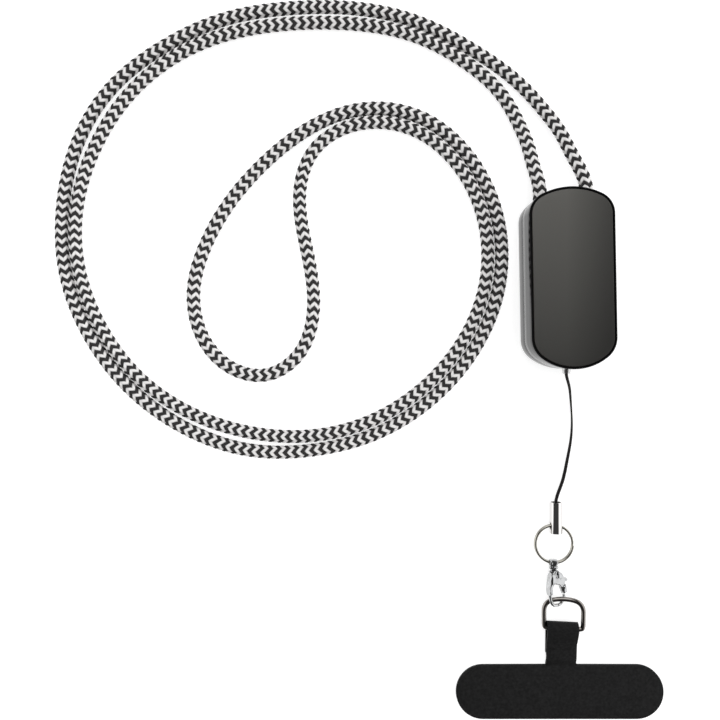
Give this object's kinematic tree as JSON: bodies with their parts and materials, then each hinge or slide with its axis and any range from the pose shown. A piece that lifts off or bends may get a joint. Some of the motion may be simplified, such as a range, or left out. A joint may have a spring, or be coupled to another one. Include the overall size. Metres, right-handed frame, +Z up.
{
  "type": "phone crossbody strap",
  "caption": "Doubled braided rope strap ending in a slim rounded housing, with a thin string, crimp tube, split ring, swivel clasp, D-ring and a cloth patch for a phone case.",
  "frame": {"origin": "centre of the housing's flat back face, which lies on the surface", "axes": "+Z up out of the housing's front plate, +Y along the housing from the string's end to the rope's end, +X to the right in the picture"},
  "size_m": [0.1814, 0.2142, 0.016],
  "materials": {
    "gloss_black_plastic": "glossy moulded black plastic",
    "satin_grey_plate": "satin dark grey",
    "black_and_white_braid": "round braid in black and white zigzags",
    "black_string": "smooth black doubled string",
    "chrome": "polished",
    "dark_nickel": "polished dark nickel",
    "black_cloth": "fine matt woven black cloth"
  },
  "bodies": {
    "housing": {"housing_back_shell": "gloss_black_plastic", "housing_front_shell": "gloss_black_plastic", "housing_front_plate": "satin_grey_plate", "string_bushing": "chrome", "strap_rope": "black_and_white_braid", "string": "black_string", "crimp_tube": "chrome", "split_ring": "dark_nickel", "swivel_eye": "chrome"},
    "clasp": {"clasp_body": "chrome", "d_ring": "dark_nickel", "phone_patch": "black_cloth"},
    "lever": {"clasp_lever": "chrome"}
  },
  "joints": [
    {"name": "swivel", "type": "hinge", "parent": "housing", "child": "clasp", "pos_m": [-0.0023, -0.08316, 0.00228], "axis": [0.0521, -0.994, 0.0958], "continuous": true},
    {"name": "clasp_opening", "type": "hinge", "parent": "clasp", "child": "lever", "pos_m": [-0.00054, -0.08812, 0.00197], "axis": [0.4644, 0.1091, 0.8789], "range_deg": [-20, 0], "stiffness_Nm_per_rad": 0.004}
  ]
}
